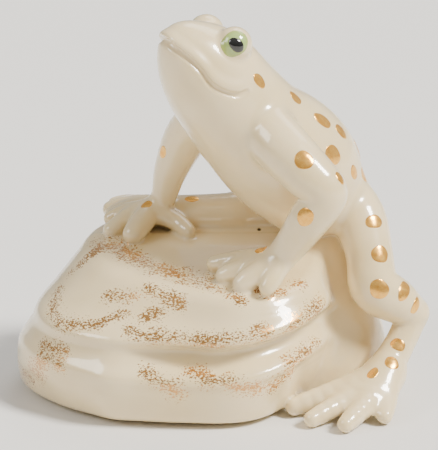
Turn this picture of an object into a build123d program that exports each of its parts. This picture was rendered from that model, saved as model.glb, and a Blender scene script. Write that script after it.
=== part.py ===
from build123d import *

# A glazed porcelain frog climbing on a rock, as the separate castings it is luted from.
# Millimetres, +Z up. The origin is on the underside of the rock, in the middle of its footprint,
# and -Y is the displayed front. Layout points are shares: x of the rock's length, y of its depth,
# and a level that is 0 on the ground, 1 at the rock's top and 2 at the top of the frog.
import os
from math import cos, radians, sin

os.makedirs("parts", exist_ok=True)

# ---- overall sizes ----
rock_length = 98.0
rock_depth = 60.0
rock_height = 36.0
frog_rise = 58.0

# ---- casting walls and holes ----
rock_wall = 3.2
torso_wall = 2.6
vent_diameter = 4.5
vent_across = 0.12
vent_back = 0.12

# ---- fired decoration: enamel and gold lie on the glaze as thin films ----
film = 0.15
gold_diameter = 4.0
gold_reach = 1.6
eye_radius = 4.15
iris_radius = 3.6
pupil_radius = 1.9

# ---- the way the frog faces, turned from -X towards -Y ----
heading = 28.0
gaze_turn = 25.0
gaze_rise = 13.5

# ---- rounded limb ends, as shares of the end radius: how far on, and how thick there ----
shoulder_reach = 0.72
shoulder_radius = 0.70
tip_reach = 0.97
tip_radius = 0.25

# ---- body: one radius for each station of the torso, snout first ----
torso_radii = [4.0, 6.4, 8.4, 10.8, 11.6, 12.2, 12.9, 13.7, 13.0, 10.6]
# ---- limbs: likewise, from the body outwards ----
left_foreleg_radii = [7.0, 6.2, 4.8, 4.6, 3.9, 3.4]
right_foreleg_radii = [5.5, 4.7, 3.8, 3.1, 3.1]
finger_radii = [2.8, 2.1, 1.5]
left_hind_leg_radii = [7.2, 6.4, 5.4, 5.9, 5.0, 3.6]
left_ankle_radii = [3.4, 3.2, 3.9]
toe_radii = [3.6, 2.5, 1.9]
web_thickness = 2.4
web_reach = 0.35
right_hind_leg_radii = [7.4, 6.6, 6.0, 5.2, 4.4, 3.3]
right_toe_radii = [3.1, 2.4, 1.9]


def at(across, back, level):
    """The point at these shares of the figurine."""
    above = max(level - 1.0, 0.0) * frog_rise
    return Vector(across * rock_length, back * rock_depth, min(level, 1.0) * rock_height + above)


def direction_at(path, index):
    """The unit direction of a path at one of its points, halving the turn there."""
    before = path[index] - path[index - 1] if index > 0 else path[1] - path[0]
    after = path[index + 1] - path[index] if index < len(path) - 1 else before
    return (before.normalized() + after.normalized()).normalized()


def section_plane(origin, direction, outward):
    """A plane across a limb, with its X axis turned towards outward."""
    x_axis = outward - direction * outward.dot(direction)
    return Plane(origin=origin, x_dir=x_axis.normalized(), z_dir=direction)


def limb(path, radii, outward=Vector(0, 0, 1), growth=0.0):
    """A round limb lofted along a path, with both ends rounded over."""
    sections = []
    for index, (point, radius) in enumerate(zip(path, radii)):
        direction = direction_at(path, index)
        sections.append((point, direction, radius + growth))
    for end, sense in ((0, -1), (len(path) - 1, 1)):
        point, direction, radius = sections[end] if sense < 0 else sections[-1]
        onward = direction * sense * radius
        shoulder = (point + onward * shoulder_reach, direction, shoulder_radius * radius)
        tip = (point + onward * tip_reach, direction, tip_radius * radius)
        sections = [tip, shoulder] + sections if sense < 0 else sections + [shoulder, tip]
    with BuildPart() as form:
        for point, direction, radius in sections:
            with BuildSketch(section_plane(point, direction, outward)):
                Circle(radius)
        loft()
    return form.part


def along(path, radii, share):
    """Point, direction and radius at a share of the way from the first station to the last."""
    position = share * (len(path) - 1)
    index = min(int(position), len(path) - 2)
    part_way = position - index
    point = path[index] * (1 - part_way) + path[index + 1] * part_way
    direction = (path[index + 1] - path[index]).normalized()
    return point, direction, radii[index] * (1 - part_way) + radii[index + 1] * part_way


def gold_spots(path, radii, outward, spots):
    """Films of gold on a limb: each spot is a share along it, a turn round it, length and width."""
    film_form = limb(path, radii, outward, growth=film)
    films = []
    for share, turn, length, width in spots:
        point, direction, radius = along(path, radii, share)
        across = section_plane(point, direction, outward)
        facing = across.x_dir * cos(radians(turn)) + across.y_dir * sin(radians(turn))
        with BuildPart() as spot:
            with BuildSketch(Plane(origin=point, x_dir=direction, z_dir=facing)):
                Ellipse(gold_diameter * length / 2, gold_diameter * width / 2)
            extrude(amount=radius * gold_reach)
            add(film_form, mode=Mode.INTERSECT)
        films.append(spot.part)
    return films


def eye_film(centre, gaze, radius, lowest, cover):
    """An enamel film on an eye, a round patch of this radius facing along the gaze."""
    with BuildPart() as patch:
        with BuildSketch(Plane(origin=centre, z_dir=gaze)):
            Circle(radius)
        extrude(amount=2 * eye_radius)
        with Locations(centre):
            Sphere(lowest + film, mode=Mode.INTERSECT)
            Sphere(lowest, mode=Mode.SUBTRACT)
        add(cover, mode=Mode.SUBTRACT)
    return patch.part


def level_profile(outline, level, inset=0.0):
    """The face inside a smooth closed outline, with its points drawn in towards the middle."""
    points = [at(across, back, level) for across, back in outline]
    centre = sum(points, Vector()) / len(points)
    height = inset + centre.Z * (1 - 2 * inset / rock_height)
    drawn_in = [point + (centre - point).normalized() * inset for point in points]
    with BuildSketch(Plane.XY.offset(height)) as profile:
        with BuildLine():
            Spline(*[(point.X, point.Y) for point in drawn_in], periodic=True)
        make_face()
    return profile.sketch.face()


# ---- rock: outlines of the front lobe, anticlockwise from the left flank ----
lobe_outlines = [
    (0.00, [(-0.50, -0.02), (-0.42, -0.22), (-0.28, -0.38), (0.02, -0.47), (0.14, -0.38),
            (0.28, -0.12), (0.28, 0.25), (0.05, 0.44), (-0.28, 0.44), (-0.46, 0.22)]),
    (0.20, [(-0.505, -0.03), (-0.43, -0.26), (-0.28, -0.42), (0.03, -0.51), (0.17, -0.42),
            (0.29, -0.14), (0.29, 0.25), (0.05, 0.45), (-0.28, 0.45), (-0.465, 0.22)]),
    (0.38, [(-0.48, -0.04), (-0.40, -0.27), (-0.28, -0.41), (0.03, -0.50), (0.18, -0.42),
            (0.28, -0.14), (0.28, 0.25), (0.05, 0.445), (-0.28, 0.445), (-0.45, 0.22)]),
    (0.48, [(-0.465, -0.04), (-0.38, -0.26), (-0.27, -0.37), (0.02, -0.44), (0.18, -0.37),
            (0.26, -0.14), (0.27, 0.25), (0.05, 0.44), (-0.28, 0.44), (-0.44, 0.22)]),
    (0.60, [(-0.45, -0.04), (-0.36, -0.29), (-0.25, -0.40), (0.04, -0.47), (0.22, -0.38),
            (0.27, -0.14), (0.265, 0.24), (0.05, 0.44), (-0.28, 0.44), (-0.42, 0.22)]),
    (0.76, [(-0.39, -0.02), (-0.31, -0.22), (-0.21, -0.34), (0.04, -0.42), (0.22, -0.35),
            (0.265, -0.14), (0.26, 0.24), (0.05, 0.44), (-0.26, 0.44), (-0.37, 0.22)]),
    (0.90, [(-0.33, 0.02), (-0.25, -0.13), (-0.15, -0.27), (0.04, -0.37), (0.20, -0.30),
            (0.25, -0.12), (0.25, 0.23), (0.05, 0.43), (-0.24, 0.43), (-0.33, 0.24)]),
    (1.00, [(-0.27, 0.08), (-0.20, -0.04), (-0.11, -0.15), (0.04, -0.22), (0.16, -0.17),
            (0.21, -0.04), (0.21, 0.22), (0.05, 0.39), (-0.20, 0.40), (-0.28, 0.24)]),
]
# rear hump that carries the rump: level, centre across and back, half length and half depth as shares
hump_levels = [
    (0.00, 0.24, 0.06, 0.158, 0.308),
    (0.40, 0.25, 0.07, 0.138, 0.267),
    (0.75, 0.25, 0.08, 0.092, 0.200),
    (1.00, 0.25, 0.09, 0.066, 0.150),
    (1.05, 0.25, 0.09, 0.031, 0.083),
]


with BuildPart() as lobe:
    loft([level_profile(outline, level) for level, outline in lobe_outlines], ruled=True)

with BuildPart() as hump:
    for level, across, back, half_length, half_depth in hump_levels:
        with BuildSketch(Plane(origin=at(across, back, level))):
            Ellipse(half_length * rock_length, half_depth * rock_depth)
    loft(ruled=True)

with BuildPart() as hollow:
    loft([level_profile(outline, level, rock_wall) for level, outline in lobe_outlines], ruled=True)

with BuildPart() as rock_form:
    add(lobe.part)
    add(hump.part)
    split(bisect_by=Plane.XY, keep=Keep.TOP)

with BuildPart() as rock_base:
    add(rock_form.part)
    add(hollow.part, mode=Mode.SUBTRACT)
    with Locations(at(-vent_across, vent_back, 0)):
        Cylinder(vent_diameter / 2, 4 * rock_wall, mode=Mode.SUBTRACT)
rock_base.part.label = "rock_base"
export_step(rock_base.part, "parts/rock_base.step")

# ---- limbs: the stations of each path, from the body outwards ----
torso_path = [
    at(-0.101, -0.204, 1.928), at(-0.081, -0.186, 1.886), at(-0.055, -0.165, 1.841),
    at(-0.023, -0.136, 1.762), at(0.017, -0.102, 1.659), at(0.056, -0.068, 1.566),
    at(0.099, -0.031, 1.476), at(0.145, 0.009, 1.390), at(0.184, 0.043, 1.303),
    at(0.221, 0.075, 1.203),
]
left_eye_centre = at(0.033, -0.218, 1.910)
right_eye_centre = at(-0.033, -0.015, 1.910)
left_foreleg_path = [
    at(0.133, -0.245, 1.520), at(0.195, -0.330, 1.435), at(0.252, -0.375, 1.345),
    at(0.212, -0.352, 1.225), at(0.166, -0.318, 1.105), at(0.138, -0.298, 1.040),
]
left_fingers = [
    [at(0.136, -0.285, 1.036), at(0.055, -0.235, 0.990), at(-0.010, -0.200, 0.965)],
    [at(0.130, -0.295, 1.034), at(0.065, -0.285, 0.975), at(0.016, -0.276, 0.920)],
    [at(0.134, -0.303, 1.034), at(0.090, -0.328, 0.957), at(0.055, -0.343, 0.896)],
    [at(0.145, -0.310, 1.034), at(0.122, -0.362, 0.975), at(0.103, -0.393, 0.920)],
]
right_foreleg_path = [
    at(-0.034, 0.070, 1.517), at(-0.082, 0.145, 1.397), at(-0.118, 0.187, 1.245),
    at(-0.145, 0.200, 1.135), at(-0.173, 0.198, 1.070),
]
right_fingers = [
    [at(-0.173, 0.196, 1.076), at(-0.224, 0.190, 1.050), at(-0.271, 0.125, 1.014)],
    [at(-0.170, 0.188, 1.070), at(-0.190, 0.142, 1.040), at(-0.214, 0.055, 1.012)],
    [at(-0.160, 0.185, 1.078), at(-0.110, 0.157, 1.038), at(-0.080, 0.105, 1.016)],
    [at(-0.173, 0.207, 1.079), at(-0.228, 0.232, 1.055), at(-0.278, 0.228, 1.028)],
]
left_hind_leg_path = [
    at(0.290, 0.085, 1.215), at(0.341, -0.010, 1.090), at(0.365, -0.092, 0.950),
    at(0.376, -0.142, 0.775), at(0.428, -0.126, 0.675), at(0.474, -0.086, 0.550),
]
left_ankle_path = [
    at(0.474, -0.086, 0.535), at(0.440, -0.142, 0.389), at(0.398, -0.217, 0.220),
]
left_toes = [
    [at(0.395, -0.217, 0.200), at(0.286, -0.292, 0.125), at(0.173, -0.342, 0.061)],
    [at(0.398, -0.233, 0.200), at(0.306, -0.358, 0.117), at(0.214, -0.467, 0.056)],
    [at(0.398, -0.233, 0.200), at(0.352, -0.400, 0.117), at(0.296, -0.520, 0.056)],
    [at(0.403, -0.233, 0.200), at(0.398, -0.342, 0.117), at(0.388, -0.435, 0.056)],
]
right_hind_leg_path = [
    at(0.265, 0.192, 1.190), at(0.219, 0.283, 1.095), at(0.143, 0.287, 1.055),
    at(0.031, 0.256, 1.048), at(-0.071, 0.267, 1.048), at(-0.149, 0.316, 1.052),
]
right_toes = [
    [at(-0.149, 0.316, 1.052), at(-0.226, 0.305, 1.043), at(-0.276, 0.290, 1.036)],
    [at(-0.149, 0.316, 1.052), at(-0.230, 0.340, 1.050), at(-0.282, 0.345, 1.040)],
    [at(-0.149, 0.316, 1.052), at(-0.222, 0.382, 1.050), at(-0.271, 0.408, 1.040)],
]

up = Vector(0, 0, 1)
forward = Vector(0, -1, 0)

torso_skin = limb(torso_path, torso_radii, up)
hollow_radii = [radius - torso_wall for radius in torso_radii[2:]]
torso_hollow = limb(torso_path[2:], hollow_radii, up)
left_foreleg_form = limb(left_foreleg_path, left_foreleg_radii, forward)
right_foreleg_form = limb(right_foreleg_path, right_foreleg_radii, forward)
left_hind_leg_form = limb(left_hind_leg_path, left_hind_leg_radii, forward)
left_ankle_form = limb(left_ankle_path, left_ankle_radii, forward)
right_hind_leg_form = limb(right_hind_leg_path, right_hind_leg_radii, up)

with BuildPart() as torso_form:
    add(torso_skin)
    with Locations(left_eye_centre, right_eye_centre):
        Sphere(eye_radius)

with BuildPart() as torso:
    add(torso_form.part)
    add(rock_form.part, mode=Mode.SUBTRACT)
    add(torso_hollow, mode=Mode.SUBTRACT)
torso.part.label = "torso"
export_step(torso.part, "parts/torso.step")

with BuildPart() as left_foreleg:
    add(left_foreleg_form)
    for finger in left_fingers:
        add(limb(finger, finger_radii, forward))
    add(torso_form.part, mode=Mode.SUBTRACT)
    add(rock_form.part, mode=Mode.SUBTRACT)
left_foreleg.part.label = "left_foreleg"
export_step(left_foreleg.part, "parts/left_foreleg.step")

with BuildPart() as right_foreleg:
    add(right_foreleg_form)
    for finger in right_fingers:
        add(limb(finger, finger_radii, forward))
    add(torso_form.part, mode=Mode.SUBTRACT)
    add(rock_form.part, mode=Mode.SUBTRACT)
right_foreleg.part.label = "right_foreleg"
export_step(right_foreleg.part, "parts/right_foreleg.step")

with BuildPart() as left_hind_leg:
    add(left_hind_leg_form)
    add(torso_form.part, mode=Mode.SUBTRACT)
    add(rock_form.part, mode=Mode.SUBTRACT)
left_hind_leg.part.label = "left_hind_leg"
export_step(left_hind_leg.part, "parts/left_hind_leg.step")

# the web of the left foot fills in between its toes, level with their middles
web_corners = [left_ankle_path[-1]]
web_corners += [toe[1] * (1 - web_reach) + toe[2] * web_reach for toe in left_toes]
web_plane = Plane(origin=web_corners[0], x_dir=web_corners[1] - web_corners[0],
                  z_dir=(web_corners[3] - web_corners[0]).cross(web_corners[1] - web_corners[0]))
with BuildPart() as left_web:
    with BuildSketch(web_plane):
        with BuildLine():
            corners = [web_plane.to_local_coords(corner) for corner in web_corners]
            Polyline([(corner.X, corner.Y) for corner in corners], close=True)
        make_face()
    extrude(amount=web_thickness / 2, both=True)

with BuildPart() as left_hind_foot:
    add(left_ankle_form)
    add(left_web.part)
    for toe in left_toes:
        add(limb(toe, toe_radii, up))
    add(left_hind_leg_form, mode=Mode.SUBTRACT)
    add(rock_form.part, mode=Mode.SUBTRACT)
left_hind_foot.part.label = "left_hind_foot"
export_step(left_hind_foot.part, "parts/left_hind_foot.step")

with BuildPart() as right_hind_leg:
    add(right_hind_leg_form)
    add(left_hind_leg_form, mode=Mode.SUBTRACT)
    add(torso_form.part, mode=Mode.SUBTRACT)
    add(rock_form.part, mode=Mode.SUBTRACT)
right_hind_leg.part.label = "right_hind_leg"
export_step(right_hind_leg.part, "parts/right_hind_leg.step")

with BuildPart() as right_hind_foot:
    for toe in right_toes:
        add(limb(toe, right_toe_radii, up))
    add(right_hind_leg_form, mode=Mode.SUBTRACT)
    add(right_foreleg.part, mode=Mode.SUBTRACT)
    add(rock_form.part, mode=Mode.SUBTRACT)
right_hind_foot.part.label = "right_hind_foot"
export_step(right_hind_foot.part, "parts/right_hind_foot.step")

# ---- painted eyes: a green ring's disc on each eye, and a black pupil on top of it ----
ahead = Vector(-cos(radians(heading)), -sin(radians(heading)), 0)
frogs_left = Vector(sin(radians(heading)), -cos(radians(heading)), 0)
for side, centre, outwards in (("left", left_eye_centre, 1), ("right", right_eye_centre, -1)):
    level_gaze = frogs_left * outwards * cos(radians(gaze_turn)) + ahead * sin(radians(gaze_turn))
    gaze = level_gaze * cos(radians(gaze_rise)) + up * sin(radians(gaze_rise))
    with BuildPart() as iris:
        add(eye_film(centre, gaze, iris_radius, eye_radius, torso_skin))
    iris.part.label = side + "_iris"
    export_step(iris.part, "parts/" + side + "_iris.step")
    with BuildPart() as pupil:
        add(eye_film(centre, gaze, pupil_radius, eye_radius + film, torso_skin))
    pupil.part.label = side + "_pupil"
    export_step(pupil.part, "parts/" + side + "_pupil.step")

# ---- gold spots: share along the limb, turn round it, length and width in gold diameters ----
torso_spots = [
    (0.39, 62, 0.90, 0.55), (0.59, 38, 0.80, 0.55), (0.72, 44, 1.25, 0.70), (0.81, 36, 0.90, 0.65),
    (0.80, 66, 1.05, 0.85), (0.91, 21, 1.35, 0.70), (0.90, 58, 0.85, 0.50), (0.97, 40, 0.85, 0.60),
    (0.44, -58, 0.85, 0.60), (0.58, -36, 0.80, 0.60), (0.69, -66, 1.10, 0.70),
    (0.76, -28, 0.90, 0.65), (0.82, -58, 0.95, 0.80), (0.90, -32, 0.90, 0.60),
]
left_foreleg_spots = [
    (0.20, -24, 1.15, 1.15), (0.40, -78, 0.85, 0.55), (0.55, 27, 1.15, 1.10), (0.95, 95, 0.75, 0.45),
]
right_foreleg_spots = [(0.36, 98, 0.85, 0.65), (0.55, 150, 0.80, 0.70), (0.86, 60, 0.75, 0.60)]
left_hind_leg_spots = [
    (0.24, -39, 0.70, 1.00), (0.40, -29, 0.95, 1.05), (0.60, -11, 1.15, 1.05),
    (0.76, -52, 0.55, 1.40), (0.87, -42, 0.40, 1.00), (0.30, -110, 0.85, 0.80),
]
left_hind_foot_spots = [(0.61, 18, 0.70, 0.85), (0.88, 9, 0.75, 0.75), (0.97, 45, 0.75, 0.55)]
right_hind_leg_spots = [
    (0.80, -12, 0.90, 0.60), (0.60, 31, 0.90, 0.70), (0.42, 49, 0.95, 0.80), (0.22, 43, 1.00, 0.85),
]

with BuildPart() as torso_gold_spots:
    for gold in gold_spots(torso_path, torso_radii, up, torso_spots):
        add(gold)
    for covered in (torso_form.part, left_foreleg_form, left_hind_leg_form, right_hind_leg_form):
        add(covered, mode=Mode.SUBTRACT)
torso_gold_spots.part.label = "torso_gold_spots"
export_step(torso_gold_spots.part, "parts/torso_gold_spots.step")

with BuildPart() as left_foreleg_gold_spots:
    for gold in gold_spots(left_foreleg_path, left_foreleg_radii, forward, left_foreleg_spots):
        add(gold)
    add(left_foreleg.part, mode=Mode.SUBTRACT)
    add(torso_form.part, mode=Mode.SUBTRACT)
left_foreleg_gold_spots.part.label = "left_foreleg_gold_spots"
export_step(left_foreleg_gold_spots.part, "parts/left_foreleg_gold_spots.step")

with BuildPart() as right_foreleg_gold_spots:
    for gold in gold_spots(right_foreleg_path, right_foreleg_radii, forward, right_foreleg_spots):
        add(gold)
    add(right_foreleg.part, mode=Mode.SUBTRACT)
    add(torso_form.part, mode=Mode.SUBTRACT)
right_foreleg_gold_spots.part.label = "right_foreleg_gold_spots"
export_step(right_foreleg_gold_spots.part, "parts/right_foreleg_gold_spots.step")

with BuildPart() as left_hind_leg_gold_spots:
    for gold in gold_spots(left_hind_leg_path, left_hind_leg_radii, forward, left_hind_leg_spots):
        add(gold)
    add(left_hind_leg_form, mode=Mode.SUBTRACT)
    add(torso_form.part, mode=Mode.SUBTRACT)
left_hind_leg_gold_spots.part.label = "left_hind_leg_gold_spots"
export_step(left_hind_leg_gold_spots.part, "parts/left_hind_leg_gold_spots.step")

with BuildPart() as left_hind_foot_gold_spots:
    for gold in gold_spots(left_ankle_path, left_ankle_radii, forward, left_hind_foot_spots):
        add(gold)
    add(left_hind_foot.part, mode=Mode.SUBTRACT)
    add(left_hind_leg_form, mode=Mode.SUBTRACT)
left_hind_foot_gold_spots.part.label = "left_hind_foot_gold_spots"
export_step(left_hind_foot_gold_spots.part, "parts/left_hind_foot_gold_spots.step")

with BuildPart() as right_hind_leg_gold_spots:
    for gold in gold_spots(right_hind_leg_path, right_hind_leg_radii, up, right_hind_leg_spots):
        add(gold)
    add(right_hind_leg_form, mode=Mode.SUBTRACT)
    add(torso_form.part, mode=Mode.SUBTRACT)
right_hind_leg_gold_spots.part.label = "right_hind_leg_gold_spots"
export_step(right_hind_leg_gold_spots.part, "parts/right_hind_leg_gold_spots.step")
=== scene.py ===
import bpy
import numpy as np
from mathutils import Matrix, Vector


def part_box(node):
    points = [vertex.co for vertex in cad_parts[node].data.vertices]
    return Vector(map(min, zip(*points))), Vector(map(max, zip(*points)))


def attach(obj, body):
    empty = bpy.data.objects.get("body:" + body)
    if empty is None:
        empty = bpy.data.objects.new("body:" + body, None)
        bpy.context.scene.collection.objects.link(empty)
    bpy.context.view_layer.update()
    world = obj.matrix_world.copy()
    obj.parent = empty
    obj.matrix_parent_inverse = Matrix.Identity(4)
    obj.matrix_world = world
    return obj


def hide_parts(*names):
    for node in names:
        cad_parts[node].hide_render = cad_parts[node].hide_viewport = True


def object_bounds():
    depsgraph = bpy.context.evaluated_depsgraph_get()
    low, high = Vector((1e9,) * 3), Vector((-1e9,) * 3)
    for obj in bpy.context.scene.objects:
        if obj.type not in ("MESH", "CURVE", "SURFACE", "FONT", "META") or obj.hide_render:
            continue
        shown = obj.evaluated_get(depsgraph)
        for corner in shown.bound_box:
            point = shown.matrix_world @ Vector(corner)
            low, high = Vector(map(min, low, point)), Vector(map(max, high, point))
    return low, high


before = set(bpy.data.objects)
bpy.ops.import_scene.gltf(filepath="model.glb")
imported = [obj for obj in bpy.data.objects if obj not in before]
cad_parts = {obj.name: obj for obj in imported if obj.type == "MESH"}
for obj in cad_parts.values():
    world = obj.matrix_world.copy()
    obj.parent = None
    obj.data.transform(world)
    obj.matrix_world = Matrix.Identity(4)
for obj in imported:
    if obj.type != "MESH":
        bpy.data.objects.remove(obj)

cadBox = [list(corner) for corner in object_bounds()]
fullHeight = 94.11      # height of the full-size figurine, in millimetres
unit = (cadBox[1][2] - cadBox[0][2]) / fullHeight   # metres in one of its millimetres
print("frame loaded, unit", round(unit, 6))


# A field gives, at every point, roughly how far it lies outside a form, negative inside.
# Points are rows of x, y, z in full-size millimetres.

frog = {"snout": (-13.2, -14.0), "backwards": (0.883, 0.469), "leftwards": (0.469, -0.883)}


def frogPoint(back, left, height):
    # back from the snout along the heading, left towards the frog's left side
    across, deep = (start + back * alongBack + left * alongLeft for start, alongBack, alongLeft
                    in zip(frog["snout"], frog["backwards"], frog["leftwards"]))
    return (across, deep, height)


def blendMin(first, second, width):
    # the lower of two fields, rounded over where they differ by less than width
    share = np.clip(0.5 + 0.5 * (second - first) / width, 0.0, 1.0)
    return second * (1 - share) + first * share - width * share * (1 - share)


def blendMax(first, second, width):
    return -blendMin(-first, -second, width)


def curveThrough(p0, p1, p2, p3, share):
    # the Catmull-Rom cubic from p1 to p2, which also passes through p0 and p3 in turn
    return 0.5 * (2 * p1 + (p2 - p0) * share + (2 * p0 - 5 * p1 + 4 * p2 - p3) * share ** 2
                  + (3 * p1 - p0 - 3 * p2 + p3) * share ** 3)


def smoothPath(stations, steps=4):
    # a curve through the stations (Catmull-Rom), each row x, y, z and radius
    rows = np.array(stations, dtype=float)
    padded = np.vstack([2 * rows[0] - rows[1], rows, 2 * rows[-1] - rows[-2]])
    share = np.linspace(0, 1, steps, endpoint=False)[:, None]
    spans = []
    for four in zip(padded[:-3], padded[1:-2], padded[2:-1], padded[3:]):
        spans.append(curveThrough(*four, share))
    return np.vstack(spans + [rows[-1:]])


def rodField(points, start, end):
    # distance to a tapered rod with round ends: from the nearest place on its axis, less the radius there
    axis = end[:3] - start[:3]
    share = np.clip((points - start[:3]) @ axis / (axis @ axis), 0, 1)
    gap = points - start[:3] - share[:, None] * axis
    return np.sqrt(np.einsum("ij,ij->i", gap, gap)) - start[3] - share * (end[3] - start[3])


def limbField(points, path, width=0.6, reach=7.0):
    # blended rods along a path, worked out only near it
    result = np.full(len(points), reach, dtype=float)
    widest = path[:, 3].max() + reach
    near = np.all((points > path[:, :3].min(0) - widest) & (points < path[:, :3].max(0) + widest), axis=1)
    close = points[near]
    if len(close) == 0:
        return result
    field = rodField(close, path[0], path[1])
    for start, end in zip(path[1:-1], path[2:]):
        field = blendMin(field, rodField(close, start, end), width)
    result[near] = np.minimum(field, reach)
    return result


def ballField(points, centre, radii):
    # distance to an ellipsoid, from its scaled radius
    scaled = (points - np.array(centre)) / np.array(radii)
    length = np.sqrt(np.einsum("ij,ij->i", scaled, scaled))
    return (length - 1) * min(radii)


def slopes(function, points, step=0.02):
    # the field's gradient by central differences
    offsets = np.eye(3) * step
    rises = [function(points + offset) - function(points - offset) for offset in offsets]
    return np.stack([rise / (2 * step) for rise in rises], 1)


def settle(function, points, rounds=3, furthest=0.3):
    # moves points along the slope until the field there is zero
    for _ in range(rounds):
        slope = slopes(function, points)
        steepness = np.maximum(np.einsum("ij,ij->i", slope, slope), 0.25)
        move = slope * (function(points) / steepness)[:, None]
        length = np.maximum(np.linalg.norm(move, axis=1), 1e-9)
        points = points - move * np.minimum(1, furthest / length)[:, None]
    return points


# the forms, in full-size millimetres: each station is a place and the radius there
torsoShape = {
    "spine": [frogPoint(4.5, 0, 89.0) + (3.5,), frogPoint(6.2, 0, 87.0) + (5.5,),
              frogPoint(8.5, 0, 84.4) + (7.9,), frogPoint(12.4, 0, 80.2) + (10.8,),
              frogPoint(16.8, 0, 74.2) + (11.6,), frogPoint(21.2, 0, 68.8) + (12.2,),
              frogPoint(25.9, 0, 63.6) + (12.9,), frogPoint(31.5, 0, 59.0) + (14.2,),
              frogPoint(36.3, 0, 54.2) + (13.9,), frogPoint(40.4, 0, 48.4) + (11.4,)],
    "eyeRadii": (4.15, 4.15, 4.15),
    "eyeBlend": 1.2,
    "lipWidth": 1.25,
    "lipBlend": 1.6,
    "mouthWidth": 0.5,
    "mouthBlend": 0.9,
}
eyeCentres = {"left": frogPoint(14.9, 6.9, 88.8), "right": frogPoint(14.9, -6.9, 88.8)}
# the left half of the mouth, from the snout back to its corner
mouthLine = [(0.2, 1.6, 90.0), (0.9, 3.6, 89.1), (2.0, 5.2, 88.0), (3.4, 7.0, 86.5), (5.3, 8.7, 84.1),
             (7.4, 10.2, 80.9), (10.0, 11.5, 79.1), (13.0, 12.4, 78.2), (15.4, 12.6, 78.9)]

leftArm = [(8.5, -9.5, 70.5, 6.2), (14.0, -16.5, 65.5, 6.4), (20.0, -21.0, 60.3, 5.8),
           (24.2, -22.6, 55.8, 4.9), (20.6, -21.5, 49.5, 4.7), (16.8, -19.2, 42.8, 3.9),
           (13.8, -18.0, 38.6, 3.4)]
leftFingers = [
    [(13.5, -16.8, 38.8, 2.5), (5.2, -14.0, 37.0, 2.2), (-1.4, -12.4, 35.4, 1.9)],
    [(13.0, -17.8, 38.6, 2.5), (6.0, -16.8, 36.0, 2.3), (0.8, -16.8, 34.0, 2.0)],
    [(13.5, -18.6, 38.6, 2.6), (8.8, -20.0, 35.8, 2.6), (5.0, -21.0, 33.4, 2.2)],
    [(14.5, -18.8, 38.6, 2.5), (12.4, -21.8, 35.6, 2.3), (10.8, -23.6, 33.4, 1.9)],
]
rightArm = [(-3.6, 3.0, 68.0, 5.6), (-8.4, 8.5, 60.2, 5.2), (-12.0, 11.2, 51.4, 4.0),
            (-14.0, 12.0, 44.2, 2.9), (-16.8, 11.8, 40.4, 3.0)]
rightFingers = [
    [(-17.0, 11.8, 41.0, 2.3), (-21.9, 11.4, 39.6, 2.2), (-26.6, 7.5, 37.2, 2.0)],
    [(-16.8, 11.2, 40.8, 2.4), (-18.6, 8.4, 39.6, 2.8), (-21.2, 3.4, 37.6, 2.5)],
    [(-15.6, 11.0, 40.6, 2.4), (-10.8, 9.4, 38.8, 2.1), (-7.8, 6.2, 37.4, 1.8)],
    [(-17.0, 12.4, 41.0, 2.2), (-22.4, 14.0, 40.0, 2.0), (-27.0, 13.8, 38.2, 1.7)],
]
leftLeg = [(28.2, 6.0, 48.0, 6.7), (33.2, 0.0, 42.6, 6.4), (35.6, -5.4, 35.0, 5.5),
           (36.6, -8.4, 28.4, 5.8), (41.6, -7.6, 24.6, 5.3), (46.4, -5.4, 20.6, 3.7)]
leftAnkle = [(46.4, -5.4, 20.6, 3.7), (43.4, -8.6, 14.6, 3.5), (39.6, -12.6, 9.0, 4.0)]
leftToes = [
    [(39.6, -13.0, 8.0, 3.6), (28.0, -17.8, 5.2, 2.8), (17.5, -21.0, 2.6, 2.2)],
    [(39.6, -13.8, 8.0, 3.5), (30.0, -21.5, 4.6, 2.6), (21.5, -27.8, 2.2, 2.0)],
    [(39.6, -14.0, 8.0, 3.5), (34.2, -24.0, 4.4, 2.6), (29.2, -31.0, 2.2, 2.0)],
    [(39.6, -13.6, 8.0, 3.4), (39.6, -20.5, 4.6, 2.3), (38.6, -26.0, 2.2, 1.9)],
]
rightLeg = [(26.0, 11.5, 47.0, 7.4), (21.5, 17.0, 41.5, 6.6), (14.0, 17.0, 39.2, 6.0),
            (3.0, 15.2, 38.8, 5.3), (-7.0, 15.6, 38.8, 4.6), (-14.6, 18.0, 39.0, 3.6)]
rightToes = [
    [(-14.6, 18.0, 39.0, 3.2), (-22.2, 17.4, 39.2, 2.4), (-26.6, 16.6, 38.2, 2.0)],
    [(-14.6, 18.0, 39.0, 3.2), (-22.6, 20.4, 39.2, 2.4), (-27.2, 20.6, 38.4, 2.0)],
    [(-14.6, 18.0, 39.0, 3.2), (-21.6, 23.0, 39.0, 2.3), (-26.2, 24.4, 38.4, 1.9)],
]


def trunkField(points):
    trunk = limbField(points, smoothPath(torsoShape["spine"]), width=2.0)
    for centre in eyeCentres.values():
        trunk = blendMin(trunk, ballField(points, centre, torsoShape["eyeRadii"]), torsoShape["eyeBlend"])
    return trunk


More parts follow.
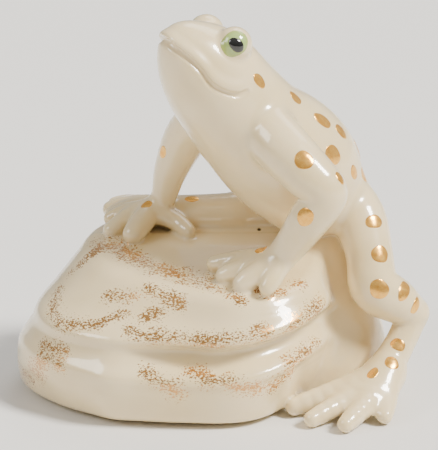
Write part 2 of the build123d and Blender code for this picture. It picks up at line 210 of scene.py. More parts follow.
# the mouth, from corner to corner round the snout, laid on the trunk, and the rolled upper lip above it
mouth = np.array([frogPoint(back, side * left, height) for side in (1, -1)
                  for back, left, height in mouthLine[::-side]])
mouth = settle(trunkField, mouth, rounds=12)
mouthOut = slopes(trunkField, mouth)
mouthOut /= np.linalg.norm(mouthOut, axis=1, keepdims=True)
lipRise = np.array((0.0, 0.0, 1.0)) - mouthOut * mouthOut[:, 2:]
lipRise /= np.linalg.norm(lipRise, axis=1, keepdims=True)
cornerFade = np.sin(np.linspace(0, np.pi, len(mouth)))[:, None] ** 0.35
lipSize = torsoShape["lipWidth"] * (1 - 0.35 * cornerFade ** 6)
lip = mouth + lipRise * (lipSize + 0.15) - mouthOut * (lipSize * (1.45 - 0.62 * cornerFade))
lipPath = smoothPath(np.hstack([lip, lipSize]))
grooveSize = torsoShape["mouthWidth"] * (0.5 + 0.5 * cornerFade)
groovePath = smoothPath(np.hstack([mouth + mouthOut * 0.1, grooveSize]))


def torsoField(points):
    trunk = blendMin(trunkField(points), limbField(points, lipPath), torsoShape["lipBlend"])
    return blendMax(trunk, -limbField(points, groovePath, reach=3.0), torsoShape["mouthBlend"])


def limbWithDigits(points, limb, digits, webbing):
    field = limbField(points, smoothPath(limb)) if limb else np.full(len(points), 7.0)
    for digit in digits:
        field = blendMin(field, limbField(points, smoothPath(digit)), webbing)
    return field


def leftForelegField(points):
    return limbWithDigits(points, leftArm, leftFingers, 1.2)


def rightForelegField(points):
    return limbWithDigits(points, rightArm, rightFingers, 1.2)


def leftHindLegField(points):
    return limbWithDigits(points, leftLeg, [], 1.0)


def leftHindFootField(points):
    return limbWithDigits(points, leftAnkle, leftToes, 2.6)


def rightHindLegField(points):
    return limbWithDigits(points, rightLeg, [], 1.0)


def rightHindFootField(points):
    return limbWithDigits(points, None, rightToes, 1.5)


# the rock's front lobe: its outline's radius about a middle post, every 30 degrees from +X, at each height
rockShape = {
    "middle": (-9.0, 0.0),
    "heights": [0.0, 5.0, 10.0, 13.5, 16.0, 18.5, 21.5, 26.0, 32.0, 38.0],
    "radii": [
        # 0     30    60    90    120   150   180   210   240   270   300   330
        [36.0, 36.0, 33.0, 29.0, 31.0, 37.0, 39.5, 34.5, 29.5, 28.5, 31.5, 31.0],
        [36.5, 36.5, 33.5, 29.5, 31.5, 37.5, 40.5, 36.5, 31.5, 30.5, 34.0, 33.5],
        [36.5, 36.5, 33.5, 29.8, 31.5, 37.5, 40.6, 37.5, 32.8, 31.4, 35.6, 35.2],
        [36.5, 36.0, 33.0, 29.5, 31.0, 36.5, 39.9, 37.2, 32.8, 31.3, 35.9, 36.0],
        [36.2, 35.7, 32.7, 29.2, 30.7, 35.8, 38.4, 35.8, 31.0, 27.2, 32.0, 33.6],
        [36.0, 35.4, 32.4, 28.9, 30.4, 34.8, 36.8, 34.6, 30.0, 25.8, 31.0, 33.4],
        [36.0, 35.0, 32.0, 28.5, 30.0, 33.5, 35.4, 34.0, 30.6, 29.6, 34.8, 37.2],
        [35.5, 34.5, 32.0, 28.5, 29.0, 31.0, 30.8, 28.0, 25.2, 25.0, 31.2, 35.6],
        [34.5, 34.0, 31.5, 28.5, 28.5, 27.5, 25.0, 21.5, 19.5, 20.6, 27.4, 33.0],
        [33.0, 33.0, 31.0, 28.0, 27.5, 24.5, 19.5, 16.0, 14.0, 15.0, 22.5, 30.0],
    ],
    "ledgeRise": 3.6,       # how far the ledges climb towards the right end
    "cornerTurn": 238.0,    # bearing of the upright corner where the ledges die out
    "cornerDepth": 1.1,
    "cornerWidth": 9.0,     # in degrees
    "cornerTop": 24.0,      # the corner dies out below this height
    "waviness": 0.3,
    "footLift": 1.5,        # how far the front lobe's underside rises towards its outline, over footWidth
    "footWidth": 5.0,
    "topHeight": 36.2,
    "topFall": 0.155,
    "topRound": 2.0,
}
# the rear hump that carries the left hind leg, from the ground up
humpStations = [(26.0, 3.0, 0.0, 15.0), (26.5, 3.5, 10.0, 13.8), (26.0, 4.5, 20.0, 11.0),
                (25.5, 5.0, 28.0, 8.6), (25.3, 5.2, 33.0, 6.6)]


def rockRadiusTable(columns=180, rows=160):
    # the outline radii, eased between their angles by a periodic curve and between heights by another
    radii = np.array(rockShape["radii"])
    angle = np.linspace(0, 12, columns, endpoint=False)
    start = angle.astype(int)
    share = angle - start
    rowsAtAngles = [radii[:, (start + step) % 12] for step in (-1, 0, 1, 2)]
    around = curveThrough(*rowsAtAngles, share)
    heights = np.array(rockShape["heights"])
    level = np.linspace(0, heights[-1], rows)
    upper = np.clip(np.searchsorted(heights, level), 1, len(heights) - 1)
    gap = heights[upper] - heights[upper - 1]
    part = ((level - heights[upper - 1]) / gap)[:, None]
    slope = np.gradient(around, heights, axis=0)
    rise = gap[:, None]
    # a cubic between two heights that keeps the slope at each
    lower = around[upper - 1] * (2 * part ** 3 - 3 * part ** 2 + 1)
    higher = around[upper] * (3 * part ** 2 - 2 * part ** 3)
    leaving = slope[upper - 1] * rise * (part ** 3 - 2 * part ** 2 + part)
    arriving = slope[upper] * rise * (part ** 3 - part ** 2)
    return lower + higher + leaving + arriving


rockTable = rockRadiusTable()


def rockField(points):
    # how far a point stands out past the outline, capped by a falling top and a flat underside
    away = points[:, :2] - np.array(rockShape["middle"])
    reach = np.hypot(away[:, 0], away[:, 1])
    turn = (np.arctan2(away[:, 1], away[:, 0]) / (2 * np.pi)) % 1.0
    rows, columns = rockTable.shape
    column = turn * columns
    climb = np.clip((turn * 360 - 285) / 45, 0, 1) * np.clip((372 - turn * 360) / 30, 0, 1)
    climb *= np.clip(points[:, 2] / 12, 0, 1) * np.clip((36 - points[:, 2]) / 8, 0, 1)
    level = points[:, 2] - rockShape["ledgeRise"] * climb
    row = np.clip(level / rockShape["heights"][-1], 0, 1) * (rows - 1)
    left = column.astype(int) % columns
    low = np.minimum(row.astype(int), rows - 2)
    alongColumn = column - np.floor(column)
    alongRow = row - low
    right = (left + 1) % columns
    below = rockTable[low, left] * (1 - alongColumn) + rockTable[low, right] * alongColumn
    above = rockTable[low + 1, left] * (1 - alongColumn) + rockTable[low + 1, right] * alongColumn
    radius = below * (1 - alongRow) + above * alongRow
    corner = np.exp(-((turn * 360 - rockShape["cornerTurn"]) / rockShape["cornerWidth"]) ** 2)
    radius += rockShape["cornerDepth"] * corner * np.clip((rockShape["cornerTop"] - points[:, 2]) / 6, 0, 1)
    # a gentle unevenness: three waves round the rock and five smaller ones, slanting with height
    wave = np.sin(18.85 * turn + points[:, 2] / 6) + 0.7 * np.sin(31.42 * turn - points[:, 2] / 4.5)
    side = (reach - radius - rockShape["waviness"] * wave) * 0.85
    top = points[:, 2] - rockShape["topHeight"] + rockShape["topFall"] * np.clip(8.0 - points[:, 1], 0, 60)
    lobe = blendMax(side, top, rockShape["topRound"])
    hump = limbField(points, smoothPath(humpStations), reach=12.0)
    lift = rockShape["footLift"] * np.clip(side / rockShape["footWidth"] + 1, 0, 1) * (points[:, 2] < 6)
    return blendMax(blendMin(lobe, hump, 3.0), lift - points[:, 2], 1.4)


# each casting's own form, how widely it is blended to those before it, and the size of its mesh's cells
castings = {
    "rock_base": {"field": rockField, "blend": 0.0, "cell": 0.62},
    "torso": {"field": torsoField, "blend": 0.8, "cell": 0.42},
    "left_foreleg": {"field": leftForelegField, "blend": 1.8, "cell": 0.36},
    "right_foreleg": {"field": rightForelegField, "blend": 1.2, "cell": 0.36},
    "left_hind_leg": {"field": leftHindLegField, "blend": 2.2, "cell": 0.40},
    "left_hind_foot": {"field": leftHindFootField, "blend": 0.8, "cell": 0.36},
    "right_hind_leg": {"field": rightHindLegField, "blend": 2.2, "cell": 0.40},
    "right_hind_foot": {"field": rightHindFootField, "blend": 1.0, "cell": 0.34},
}
castingNames = list(castings)
lapLength = 2.5     # how far a casting runs on under the one luted over it
lapDip = 0.05       # how deep it lies there


def allFields(points):
    # every casting's own field, and their blended union, the glazed skin
    own = np.array([castings[name]["field"](points) for name in castingNames])
    skin = own[0]
    for name, field in zip(castingNames[1:], own[1:]):
        skin = blendMin(skin, field, castings[name]["blend"])
    return own, skin


def skinField(points):
    return allFields(points)[1]


def castingField(points, index):
    # the skin, cut where another casting begins, but run on a little way below those luted on later
    own, skin = allFields(points)
    field = skin
    for other in range(len(own)):
        if other == index:
            continue
        beyond = own[index] - own[other]
        if other > index:
            field = np.maximum(field, skin + lapDip * np.clip(beyond / lapLength, 0, 1) ** 2)
            field = np.maximum(field, beyond - lapLength)
        else:
            field = np.maximum(field, beyond)
    return field


def netSurface(function, low, high, cell):
    # one vertex in each grid cell that the surface crosses, at the mean of its edge crossings,
    # and one quad round each grid edge whose ends lie on opposite sides
    counts = np.ceil((high - low) / cell).astype(int) + 1
    axes = [low[axis] + cell * np.arange(counts[axis]) for axis in range(3)]
    grid = np.stack(np.meshgrid(*axes, indexing="ij"), -1).reshape(-1, 3)
    values = np.empty(len(grid))
    for start in range(0, len(grid), 400000):
        values[start:start + 400000] = function(grid[start:start + 400000])
    values = values.reshape(counts)
    inside = values < 0
    corners = [(i, j, k) for i in (0, 1) for j in (0, 1) for k in (0, 1)]
    size = counts - 1
    filled = sum(inside[i:i + size[0], j:j + size[1], k:k + size[2]].astype(np.int8) for i, j, k in corners)
    cells = np.argwhere((filled > 0) & (filled < 8))
    total = np.zeros((len(cells), 3))
    crossings = np.zeros(len(cells))
    for first in corners:
        for second in corners:
            if sum(second) - sum(first) != 1 or any(b < a for a, b in zip(first, second)):
                continue
            a = values[tuple((cells + first).T)]
            b = values[tuple((cells + second).T)]
            crossed = (a < 0) != (b < 0)
            share = np.where(crossed, a / np.where(crossed, a - b, 1), 0)
            place = np.array(first) + share[:, None] * (np.array(second) - np.array(first))
            total += place * crossed[:, None]
            crossings += crossed
    vertices = low + cell * (cells + total / crossings[:, None])
    number = np.full(size, -1)
    number[tuple(cells.T)] = np.arange(len(cells))
    quads = []
    for axis in range(3):
        u, v = (axis + 1) % 3, (axis + 2) % 3
        before = np.take(inside, np.arange(counts[axis] - 1), axis)
        after = np.take(inside, np.arange(1, counts[axis]), axis)
        edges = np.argwhere(before != after)
        fromLow = (edges[:, u] > 0) & (edges[:, v] > 0)
        edges = edges[fromLow & (edges[:, u] < size[u]) & (edges[:, v] < size[v])]
        ring = []
        for du, dv in ((1, 1), (0, 1), (0, 0), (1, 0)):
            place = edges.copy()
            place[:, u] -= du
            place[:, v] -= dv
            ring.append(number[tuple(place.T)])
        quad = np.stack(ring, 1)
        leaving = before[tuple(edges.T)]
        quads.append(np.where(leaving[:, None], quad, quad[:, ::-1]))
    return vertices, np.vstack(quads)


def makeMesh(name, vertices, faces, normals, material):
    mesh = bpy.data.meshes.new(name)
    mesh.from_pydata((vertices * unit).tolist(), [], faces.tolist())
    mesh.polygons.foreach_set("use_smooth", np.ones(len(faces), dtype=bool))
    mesh.materials.append(material)
    mesh.update()
    if normals is not None:
        lengths = np.maximum(np.linalg.norm(normals, axis=1, keepdims=True), 1e-9)
        mesh.normals_split_custom_set_from_vertices((normals / lengths).tolist())
    piece = bpy.data.objects.new(name, mesh)
    bpy.context.scene.collection.objects.link(piece)
    return piece


def newMaterial(name):
    material = bpy.data.materials.new(name)
    material.use_nodes = True
    nodes = material.node_tree.nodes
    return material, nodes, material.node_tree.links, nodes["Principled BSDF"]


def addNode(nodes, kind, **inputs):
    node = nodes.new(kind)
    for key, value in inputs.items():
        node.inputs[key.replace("_", " ")].default_value = value
    return node


glaze = {
    "ivory": (0.86, 0.70, 0.42, 1),
    "warm": (0.79, 0.625, 0.335, 1),
    "roughness": 0.25,
    "coatRoughness": 0.015,
    "subsurface": 0.25,
    "pinhole": (9.4, 10.0, 36.4),
}


def porcelainMaterial(name):
    # warm ivory body under a clear glaze, with faint cloudy colour and a barely uneven glaze surface
    material, nodes, links, shader = newMaterial(name)
    place = nodes.new("ShaderNodeTexCoord")
    cloud = addNode(nodes, "ShaderNodeTexNoise", Scale=0.06 / unit, Detail=3.0)
    ramp = nodes.new("ShaderNodeValToRGB")
    ramp.color_ramp.elements[0].position = 0.30
    ramp.color_ramp.elements[0].color = glaze["warm"]
    ramp.color_ramp.elements[1].position = 0.62
    ramp.color_ramp.elements[1].color = glaze["ivory"]
    links.new(place.outputs["Object"], cloud.inputs["Vector"])
    links.new(cloud.outputs["Fac"], ramp.inputs["Fac"])
    links.new(ramp.outputs["Color"], shader.inputs["Base Color"])
    shader.inputs["Roughness"].default_value = glaze["roughness"]
    shader.inputs["Coat Weight"].default_value = 1.0
    shader.inputs["Coat Roughness"].default_value = glaze["coatRoughness"]
    shader.inputs["Subsurface Weight"].default_value = glaze["subsurface"]
    shader.inputs["Subsurface Radius"].default_value = (0.85, 0.75, 0.5)
    shader.inputs["Subsurface Scale"].default_value = 1.6 * unit
    ripple = addNode(nodes, "ShaderNodeTexNoise", Scale=0.22 / unit, Detail=2.0)
    bump = addNode(nodes, "ShaderNodeBump", Strength=0.25, Distance=0.12 * unit)
    links.new(place.outputs["Object"], ripple.inputs["Vector"])
    links.new(ripple.outputs["Fac"], bump.inputs["Height"])
    links.new(bump.outputs["Normal"], shader.inputs["Coat Normal"])
    # painted shade: a near-black dot stands for the shade inside a firing pinhole where the right hind leg
    # is luted on; the pit itself is not modelled
    away = nodes.new("ShaderNodeVectorMath")
    away.operation = "DISTANCE"
    away.inputs[1].default_value = tuple(np.array(glaze["pinhole"]) * unit)
    links.new(place.outputs["Object"], away.inputs[0])
    pinholeShadeFade = nodes.new("ShaderNodeMapRange")
    pinholeShadeFade.inputs["From Min"].default_value = 0.35 * unit
    pinholeShadeFade.inputs["From Max"].default_value = 0.65 * unit
    links.new(away.outputs["Value"], pinholeShadeFade.inputs["Value"])
    # the painted pinhole shade, mixed over the glaze colour
    withPinholeShade = nodes.new("ShaderNodeMix")
    withPinholeShade.data_type = "RGBA"
    withPinholeShade.inputs["A"].default_value = (0.03, 0.02, 0.01, 1)
    links.new(pinholeShadeFade.outputs[0], withPinholeShade.inputs["Factor"])
    links.new(ramp.outputs["Color"], withPinholeShade.inputs["B"])
    links.new(withPinholeShade.outputs["Result"], shader.inputs["Base Color"])
    return material, nodes, links, shader, withPinholeShade, place


porcelain = porcelainMaterial("ivoryGlaze")[0]


flecks = {
    "fineness": 2.2,        # of the pattern, per millimetre
    "stretch": (0.8, 0.8, 1.5),
    "patchSize": 0.22,
    "patchiness": 0.40,
    "bandWeight": 0.50,
    "cut": (1.155, 1.185),  # strength where flecks begin and where they are full
    "colour": (0.60, 0.30, 0.08, 1),
    "metallic": 0.8,
}


def goldFleckedMaterial():
    # the same glaze, sponged with gold: small flecks where the band attribute and a fine pattern are high
    material, nodes, links, shader, withPinholeShade, place = porcelainMaterial("ivoryGlazeWithFlecks")
    band = nodes.new("ShaderNodeAttribute")
    band.attribute_name = "goldBand"
    stretch = nodes.new("ShaderNodeMapping")
    stretch.inputs["Scale"].default_value = flecks["stretch"]
    speck = addNode(nodes, "ShaderNodeTexNoise", Scale=flecks["fineness"] / unit, Detail=2.0, Roughness=0.55,
                    Distortion=0.3)
    patch = addNode(nodes, "ShaderNodeTexNoise", Scale=flecks["patchSize"] / unit, Detail=2.0)
    links.new(place.outputs["Object"], stretch.inputs["Vector"])
    links.new(stretch.outputs["Vector"], speck.inputs["Vector"])
    links.new(place.outputs["Object"], patch.inputs["Vector"])
    # fleck strength: fine pattern + patchiness + band, cut off sharply
    patchy = nodes.new("ShaderNodeMath")
    patchy.operation = "MULTIPLY_ADD"
    links.new(patch.outputs["Fac"], patchy.inputs[0])
    patchy.inputs[1].default_value = flecks["patchiness"]
    links.new(speck.outputs["Fac"], patchy.inputs[2])
    strength = nodes.new("ShaderNodeMath")
    strength.operation = "MULTIPLY_ADD"
    links.new(band.outputs["Fac"], strength.inputs[0])
    strength.inputs[1].default_value = flecks["bandWeight"]
    links.new(patchy.outputs[0], strength.inputs[2])
    mask = nodes.new("ShaderNodeMapRange")
    mask.inputs["From Min"].default_value = flecks["cut"][0]
    mask.inputs["From Max"].default_value = flecks["cut"][1]
    links.new(strength.outputs[0], mask.inputs["Value"])
    mix = nodes.new("ShaderNodeMix")
    mix.data_type = "RGBA"
    links.new(mask.outputs[0], mix.inputs["Factor"])
    links.new(withPinholeShade.outputs["Result"], mix.inputs["A"])
    mix.inputs["B"].default_value = flecks["colour"]
    links.new(mix.outputs["Result"], shader.inputs["Base Color"])
    metal = nodes.new("ShaderNodeMath")
    metal.operation = "MULTIPLY"
    metal.inputs[1].default_value = flecks["metallic"]
    links.new(mask.outputs[0], metal.inputs[0])
    links.new(metal.outputs[0], shader.inputs["Metallic"])
    return material


fleckedPorcelain = goldFleckedMaterial()


burnish = {
    "deep": (0.88, 0.42, 0.07, 1),
    "bright": (0.98, 0.56, 0.13, 1),
    "roughness": (0.12, 0.32),
    "metallic": 0.75,
}


def goldMaterial():
    # bright fired gold, a little burnished and uneven
    material, nodes, links, shader = newMaterial("firedGold")
    place = nodes.new("ShaderNodeTexCoord")
    wear = addNode(nodes, "ShaderNodeTexNoise", Scale=0.9 / unit, Detail=3.0)
    ramp = nodes.new("ShaderNodeValToRGB")
    ramp.color_ramp.elements[0].position = 0.35
    ramp.color_ramp.elements[0].color = burnish["deep"]
    ramp.color_ramp.elements[1].position = 0.65
    ramp.color_ramp.elements[1].color = burnish["bright"]
    rough = nodes.new("ShaderNodeMapRange")
    rough.inputs["To Min"].default_value = burnish["roughness"][0]
    rough.inputs["To Max"].default_value = burnish["roughness"][1]
    links.new(place.outputs["Object"], wear.inputs["Vector"])
    links.new(wear.outputs["Fac"], ramp.inputs["Fac"])
    links.new(wear.outputs["Fac"], rough.inputs["Value"])
    links.new(ramp.outputs["Color"], shader.inputs["Base Color"])
    links.new(rough.outputs[0], shader.inputs["Roughness"])
    shader.inputs["Metallic"].default_value = burnish["metallic"]
    return material


gold = goldMaterial()


def enamelMaterial(name, centreColour, rimColour):
    # glossy painted enamel, fading from its middle to its rim by the rim attribute
    material, nodes, links, shader = newMaterial(name)
    rim = nodes.new("ShaderNodeAttribute")
    rim.attribute_name = "rim"
    place = nodes.new("ShaderNodeTexCoord")
    brush = addNode(nodes, "ShaderNodeTexNoise", Scale=0.9 / unit, Detail=3.0)
    rimEdge = nodes.new("ShaderNodeMapRange")
    rimEdge.inputs["From Min"].default_value = 0.55
    rimEdge.inputs["From Max"].default_value = 1.25
    links.new(rim.outputs["Fac"], rimEdge.inputs["Value"])
    soft = nodes.new("ShaderNodeMath")
    soft.operation = "MULTIPLY_ADD"
    soft.inputs[1].default_value = 0.35
    mix = nodes.new("ShaderNodeValToRGB")
    mix.color_ramp.elements[0].position = 0.0
    mix.color_ramp.elements[0].color = centreColour
    mix.color_ramp.elements[1].position = 1.0
    mix.color_ramp.elements[1].color = rimColour
    links.new(place.outputs["Object"], brush.inputs["Vector"])
    links.new(brush.outputs["Fac"], soft.inputs[0])
    links.new(rimEdge.outputs[0], soft.inputs[2])
    links.new(soft.outputs[0], mix.inputs["Fac"])
    links.new(mix.outputs["Color"], shader.inputs["Base Color"])
    shader.inputs["Roughness"].default_value = 0.15
    shader.inputs["Coat Weight"].default_value = 1.0
    shader.inputs["Coat Roughness"].default_value = 0.02
    return material


greenEnamel = enamelMaterial("greenEnamel", (0.36, 0.50, 0.17, 1), (0.36, 0.40, 0.08, 1))
blackEnamel = enamelMaterial("blackEnamel", (0.004, 0.004, 0.004, 1), (0.012, 0.011, 0.010, 1))
print("materials made")

# the bands of sponged gold on the rock: points along each, and its half width
goldBands = [
    ([(-28, 2.5, 35.2), (-24, 0.5, 35), (-19, -7, 33.7), (-14, -11, 33.2), (-9, -13.5, 32.8),
      (-4, -17, 32.1)], 6.2),
    ([(-35.5, -2, 30), (-31.5, -2, 33.6), (-28, 1, 35)], 3.0),
    ([(-4, -17.5, 32.1), (1, -21.5, 31.5), (5, -25, 30.3)], 3.0),
    ([(9, -21.5, 31.5), (11.5, -22.5, 30.8), (15, -20, 31.6), (18.5, -17, 31.9)], 3.6),
    ([(-39, -4.5, 25.6), (-39.4, -9.5, 24), (-38.4, -14.8, 22.5), (-34, -19.8, 22.5),
      (-28, -21.8, 23.6)], 4.0),
    ([(-26.5, -16, 28.3), (-20, -18.3, 29.4)], 3.6),
    ([(-27.5, -21.3, 24.5), (-22.5, -21.2, 25.6)], 2.8),
    ([(-16.5, -18.5, 30.6), (-13, -20.5, 29.7), (-9, -22.5, 28.7)], 4.4),
    ([(-18, -23, 25.4), (-14, -22.4, 27.1)], 3.6),
    ([(-21.5, -25.3, 23.2), (-14, -27.8, 22.8), (-7, -29.2, 22.8), (-1.3, -30.4, 22.8), (4.5, -30.6, 23.4),
      (11, -29, 24.8)], 3.8),
    ([(15.5, -26.8, 24.2), (18.5, -24.5, 25.2), (21.5, -21, 26.4), (24, -17.5, 26.8)], 4.6),
    ([(-17, -29, 14.6), (-13, -31.3, 12.2), (-9.5, -31.2, 10.3)], 4.4),
    ([(-7, -30, 14.3), (-1, -31.6, 13.5), (4.5, -31.8, 11.8), (8.7, -30, 10.8), (12.5, -27.5, 10.8),
      (15.6, -25.3, 12.8)], 4.4),
    ([(16, -25.8, 15.6), (18.6, -23.1, 16.4), (23, -17.3, 17.5)], 3.6),
    ([(-49, -3, 4.2), (-45, -13.3, 7.8), (-41.5, -18.7, 13), (-37, -21.4, 14.8)], 5.4),
    ([(-42, -15.8, 16.2), (-36, -21.3, 16.5)], 3.6),
]


def bandStrength(points):
    # one on a band's line, laid on the rock, falling to nothing past its half width
    strength = np.zeros(len(points))
    for line, halfWidth in goldBands:
        line = smoothPath([place + (halfWidth,) for place in line])[:, :3]
        laid = settle(rockField, line, rounds=8, furthest=1.0)
        path = np.hstack([laid, np.full((len(laid), 1), halfWidth)])
        strength = np.maximum(strength, np.clip(-limbField(points, path) / halfWidth, 0, 1))
    return strength ** 0.45


slots = {name: "ivory_glaze" for name in castingNames}
slots["rock_base"] = "ivory_glaze_rock"
roomRound = 3.6     # millimetres searched for the skin outside each node's box
coarse = 1.0
for index, name in enumerate(castingNames):
    low, high = (np.array(corner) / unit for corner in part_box(name))
    low, high = low - roomRound, high + roomRound
    cell = castings[name]["cell"] * coarse

    def thisField(points, index=index):
        return castingField(points, index)

    vertices, quads = netSurface(thisField, low, high, cell)
    vertices = settle(thisField, vertices)
    normals = slopes(thisField, vertices)
    onSkin = np.abs(skinField(vertices)) < 0.06
    normals[onSkin] = slopes(skinField, vertices[onSkin])
    piece = makeMesh(name + "_skin", vertices, quads, normals,
                     fleckedPorcelain if name == "rock_base" else porcelain)
    if name == "rock_base":
        band = piece.data.attributes.new("goldBand", "FLOAT", "POINT")
        band.data.foreach_set("value", bandStrength(vertices).astype(np.float32))
    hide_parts(name)
    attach(piece, "root")
    print("casting", name, len(vertices), "points")


def filmPatch(centre, facing, along, halfLength, halfWidth, thickness, rings=9, spokes=40):
    # a lens of film lying on the skin: a disc of rings and spokes laid across the facing direction,
    # dropped onto the skin, and thickened by the square root of what is left to its edge
    facing = np.array(facing) / np.linalg.norm(facing)
    along = np.array(along) - facing * (np.array(along) @ facing)
    along = along / np.linalg.norm(along)
    across = np.cross(facing, along)
    share = np.sin(np.linspace(0, np.pi / 2, rings + 1))[1:]
    turn = np.linspace(0, 2 * np.pi, spokes, endpoint=False)
    ring, spoke = np.meshgrid(share, turn, indexing="ij")
    wobble = 1 + 0.03 * np.sin(3 * spoke + centre[0]) + 0.015 * np.sin(5 * spoke + centre[2])
    flat = np.array(centre) + (ring * wobble * np.cos(spoke) * halfLength)[..., None] * along \
        + (ring * wobble * np.sin(spoke) * halfWidth)[..., None] * across
    points = np.vstack([np.array(centre)[None], flat.reshape(-1, 3)])
    points = settle(skinField, points, rounds=6, furthest=1.5)
    slope = slopes(skinField, points)
    slope = slope / np.linalg.norm(slope, axis=1, keepdims=True)
    reach = np.concatenate([[0.0], ring.ravel()])
    height = thickness * np.sqrt(np.clip(1 - reach ** 2, 0, 1))
    top = points + slope * height[:, None]
    under = points - slope * (0.5 * thickness + height * 0.2)[:, None]
    count = len(points)
    first = 1 + np.arange(spokes)
    after = 1 + (np.arange(spokes) + 1) % spokes
    triangles = np.stack([np.zeros(spokes, int), first, after], 1)
    bands = []
    for level in range(rings - 1):
        inner, outer = level * spokes, (level + 1) * spokes
        bands.append(np.stack([first + inner, first + outer, after + outer, after + inner], 1))
    bands = np.vstack(bands)
    rim = (rings - 1) * spokes
    edge = np.stack([first + rim, first + rim + count, after + rim + count, after + rim], 1)
    faces = triangles.tolist() + bands.tolist() + edge.tolist()
    faces += (triangles[:, ::-1] + count).tolist() + (bands[:, ::-1] + count).tolist()
    return np.vstack([top, under]), faces, np.concatenate([reach, reach])


def makeFilms(name, patches, material, nodeNames):
    # all patches of one group as one piece
    vertices, faces, rims, shift = [], [], [], 0
    for patchVertices, patchFaces, reach in patches:
        vertices.append(patchVertices)
        faces += [[index + shift for index in face] for face in patchFaces]
        rims.append(reach)
        shift += len(patchVertices)
    mesh = bpy.data.meshes.new(name)
    mesh.from_pydata((np.vstack(vertices) * unit).tolist(), [], faces)
    mesh.polygons.foreach_set("use_smooth", np.ones(len(faces), dtype=bool))
    mesh.materials.append(material)
    rim = mesh.attributes.new("rim", "FLOAT", "POINT")
    rim.data.foreach_set("value", np.concatenate(rims).astype(np.float32))
    piece = bpy.data.objects.new(name, mesh)
    bpy.context.scene.collection.objects.link(piece)
    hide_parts(*nodeNames)
    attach(piece, "root")


def skinPoint(origin, direction, furthest=22.0):
    # the last place along a ray from inside where the skin's field is still negative
    steps = np.linspace(0, furthest, 400)
    ray = np.array(origin) + steps[:, None] * np.array(direction)
    inside = skinField(ray) < 0
    leaving = np.argmax(~inside)
    return ray[max(leaving, 1)]


def limbDirection(stations, place):
    # the direction of the nearest stretch of a limb's axis
    rows = np.array(stations, dtype=float)[:, :3]
    middles = (rows[1:] + rows[:-1]) / 2
    nearest = np.argmin(np.linalg.norm(middles - place, axis=1))
    return rows[nearest + 1] - rows[nearest]


goldThickness = 0.14
# each spot: its place, its length along the limb and its width, in millimetres
goldSpots = {
    "torso_gold_spots": (torsoShape["spine"], [
        (8.6, -14.3, 80.4, 4.2, 2.8), (17.4, -7.0, 74.4, 4.0, 3.0), (23.4, -5.7, 68.2, 5.4, 3.4),
        (27.8, -2.7, 64.7, 4.4, 3.4), (25.9, -8.7, 61.0, 5.2, 4.6), (32.8, 4.4, 58.8, 6.0, 3.6),
        (31.6, -4.1, 55.4, 4.0, 2.8), (34.6, 1.8, 53.2, 4.2, 3.0), (3.5, 0.0, 84.0, 4.0, 3.0),
        (10.5, 3.2, 78.0, 3.8, 3.0), (13.0, 11.5, 71.0, 5.0, 3.6), (21.5, 7.5, 69.0, 4.4, 3.4),
        (20.0, 15.5, 60.0, 4.8, 4.0), (27.5, 13.5, 58.5, 4.4, 3.2)]),
    "left_foreleg_gold_spots": (leftArm, [
        (19.0, -25.2, 64.7, 4.6, 4.6), (27.6, -24.6, 60.4, 3.4, 2.4), (19.4, -26.1, 51.4, 4.6, 4.4),
        (9.7, -16.9, 40.0, 3.2, 2.4)]),
    "right_foreleg_gold_spots": (rightArm, [
        (-14.5, 6.6, 57.2, 3.4, 2.6), (-11.5, 14.5, 50.0, 3.2, 2.8), (-18.2, 9.0, 43.8, 3.0, 2.4)]),
    "left_hind_leg_gold_spots": (leftLeg, [
        (36.4, -6.2, 43.8, 3.4, 4.8), (37.8, -10.2, 37.0, 4.2, 4.8), (37.5, -14.0, 29.6, 5.0, 4.8),
        (43.6, -11.4, 28.3, 3.2, 6.4), (46.6, -10.6, 24.2, 2.4, 4.8), (39.0, 2.0, 36.0, 3.8, 3.6)]),
    "left_hind_foot_gold_spots": (leftAnkle, [
        (42.3, -12.5, 14.9, 3.0, 4.2), (40.7, -16.5, 11.9, 3.4, 3.8), (36.1, -18.7, 9.9, 3.6, 2.4)]),
    "right_hind_leg_gold_spots": (rightLeg, [
        (-7.0, 14.0, 42.9, 3.6, 2.4), (3.0, 18.0, 43.4, 3.6, 2.8), (12.0, 22.0, 43.5, 3.8, 3.2),
        (22.0, 23.0, 44.0, 4.0, 3.4)]),
}
for name, (stations, spots) in goldSpots.items():
    patches = []
    for across, deep, height, length, width in spots:
        centre = settle(skinField, np.array([[across, deep, height]]), rounds=10, furthest=1.0)
        slope = slopes(skinField, centre)[0]
        along = limbDirection(stations, centre[0])
        patches.append(filmPatch(centre[0], slope, along, length / 2, width / 2, goldThickness))
    makeFilms(name + "_film", patches, gold, [name])
print("gold spots laid")

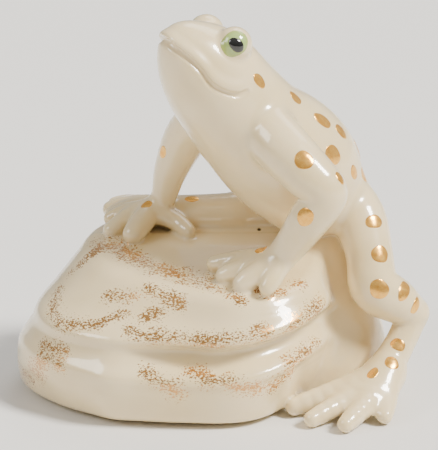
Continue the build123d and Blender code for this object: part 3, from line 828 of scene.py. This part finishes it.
# where each eye looks, as shares of forwards and up for one of sideways, and its painted sizes
eyes = {
    "gazeForward": 0.36,
    "gazeRise": 0.38,
    "irisRadius": 3.85,
    "irisThickness": 0.10,
    "pupilLength": 2.3,
    "pupilWidth": 1.55,
    "pupilThickness": 0.32,
    "pupilDip": 1.0,        # how far the pupil's long axis tilts down towards the back
    "pupilDrop": 0.17,      # how far the pupil sits below the ring's middle
}
for side, out in (("left", 1), ("right", -1)):
    centre = np.array(eyeCentres[side])
    sideways = np.array(frogPoint(0, 1, 0)) - np.array(frogPoint(0, 0, 0))
    backwards = np.array(frogPoint(1, 0, 0)) - np.array(frogPoint(0, 0, 0))
    gaze = sideways * out * 0.9 - backwards * eyes["gazeForward"] + np.array((0, 0, eyes["gazeRise"]))
    gaze /= np.linalg.norm(gaze)
    onEye = skinPoint(centre, gaze)
    level = backwards - np.array((0, 0, eyes["pupilDip"]))
    iris = filmPatch(onEye, gaze, level, eyes["irisRadius"], eyes["irisRadius"], eyes["irisThickness"])
    lowered = gaze - np.array((0, 0, eyes["pupilDrop"]))
    pupil = filmPatch(skinPoint(centre, lowered), lowered, level, eyes["pupilLength"], eyes["pupilWidth"],
                      eyes["pupilThickness"])
    makeFilms(side + "_iris_paint", [iris], greenEnamel, [side + "_iris"])
    makeFilms(side + "_pupil_paint", [pupil], blackEnamel, [side + "_pupil"])
print("eyes painted")

# floor, light and camera
floorMesh = bpy.data.meshes.new("floor")
half = 6.0      # metres
floorCorners = [(-half, -half, 0), (half, -half, 0), (half, half, 0), (-half, half, 0)]
floorMesh.from_pydata(floorCorners, [], [(0, 1, 2, 3)])
floor = bpy.data.objects.new("floor", floorMesh)
bpy.context.scene.collection.objects.link(floor)
floorMaterial, _, _, floorShader = newMaterial("paleFloor")
floorShader.inputs["Base Color"].default_value = (0.80, 0.785, 0.76, 1)
floorShader.inputs["Roughness"].default_value = 0.6
floorMesh.materials.append(floorMaterial)

view = {"middle": (0.0, 0.0, 41.2), "rise": 18.0, "distance": 620.0, "lens": 206.7}
target = np.array(view["middle"]) * unit


def aimed(name, data, place, at):
    # an object at a place, turned so that its -Z looks at a point
    thing = bpy.data.objects.new(name, data)
    bpy.context.scene.collection.objects.link(thing)
    thing.location = tuple(place)
    thing.rotation_euler = Vector(at - place).to_track_quat("-Z", "Y").to_euler()
    return thing


def fromBearing(turn, rise, distance):
    # the place at this bearing and height, in degrees, and distance from the figurine's middle
    across, up = np.radians(turn), np.radians(rise)
    outwards = (np.sin(across) * np.cos(up), -np.cos(across) * np.cos(up), np.sin(up))
    return target + distance * np.array(outwards)


def softBox(name, turn, rise, distance, width, depth, power, colour=(1, 1, 1)):
    # an area light aimed at the figurine
    light = bpy.data.lights.new(name, "AREA")
    light.shape = "RECTANGLE"
    light.size, light.size_y = width, depth
    light.energy = power
    light.color = colour
    aimed(name, light, fromBearing(turn, rise, distance), target)


def farLight(name, turn, rise, strength, spread, colour):
    # a large soft source far away, evenly bright over the floor; the spread is its width in degrees
    light = bpy.data.lights.new(name, "SUN")
    light.energy = strength
    light.angle = np.radians(spread)
    light.color = colour
    aimed(name, light, fromBearing(turn, rise, 1.0), target)


farLight("keyLight", 66, 48, 6.4, 16, (1.0, 0.97, 0.91))
softBox("fillLight", -65, 35, 1.1, 0.30, 0.5, 4.0, (1.0, 0.99, 0.97))
softBox("backLight", 150, 55, 1.2, 0.9, 0.5, 4.0)

# a pale studio all round, darker on the side that the camera stands on
world = bpy.data.worlds.new("studio")
bpy.context.scene.world = world
world.use_nodes = True
studioNodes, studioLinks = world.node_tree.nodes, world.node_tree.links
studioPlace = studioNodes.new("ShaderNodeTexCoord")
studioTilt = studioNodes.new("ShaderNodeVectorMath")
studioTilt.operation = "DOT_PRODUCT"
studioTilt.inputs[1].default_value = (0.0, 0.45, 0.89)
studioShade = studioNodes.new("ShaderNodeValToRGB")
studioShade.color_ramp.elements[0].position = 0.25
studioShade.color_ramp.elements[0].color = (0.30, 0.28, 0.25, 1)
studioShade.color_ramp.elements[1].position = 0.62
studioShade.color_ramp.elements[1].color = (0.92, 0.91, 0.89, 1)
studioTurn = studioNodes.new("ShaderNodeMapRange")
studioTurn.inputs["From Min"].default_value = -1.0
studioLinks.new(studioPlace.outputs["Generated"], studioTilt.inputs[0])
studioLinks.new(studioTilt.outputs["Value"], studioTurn.inputs["Value"])
studioLinks.new(studioTurn.outputs[0], studioShade.inputs["Fac"])
studioLinks.new(studioShade.outputs["Color"], studioNodes["Background"].inputs["Color"])
studioNodes["Background"].inputs["Strength"].default_value = 0.5

cameraData = bpy.data.cameras.new("camera")
cameraData.sensor_width = 36.0
cameraData.lens = view["lens"]
cameraData.shift_x = -0.0033
cameraData.shift_y = -0.0022
cameraPlace = fromBearing(0, view["rise"], view["distance"] * unit)
bpy.context.scene.camera = aimed("camera", cameraData, cameraPlace, target)
print("light and camera set")
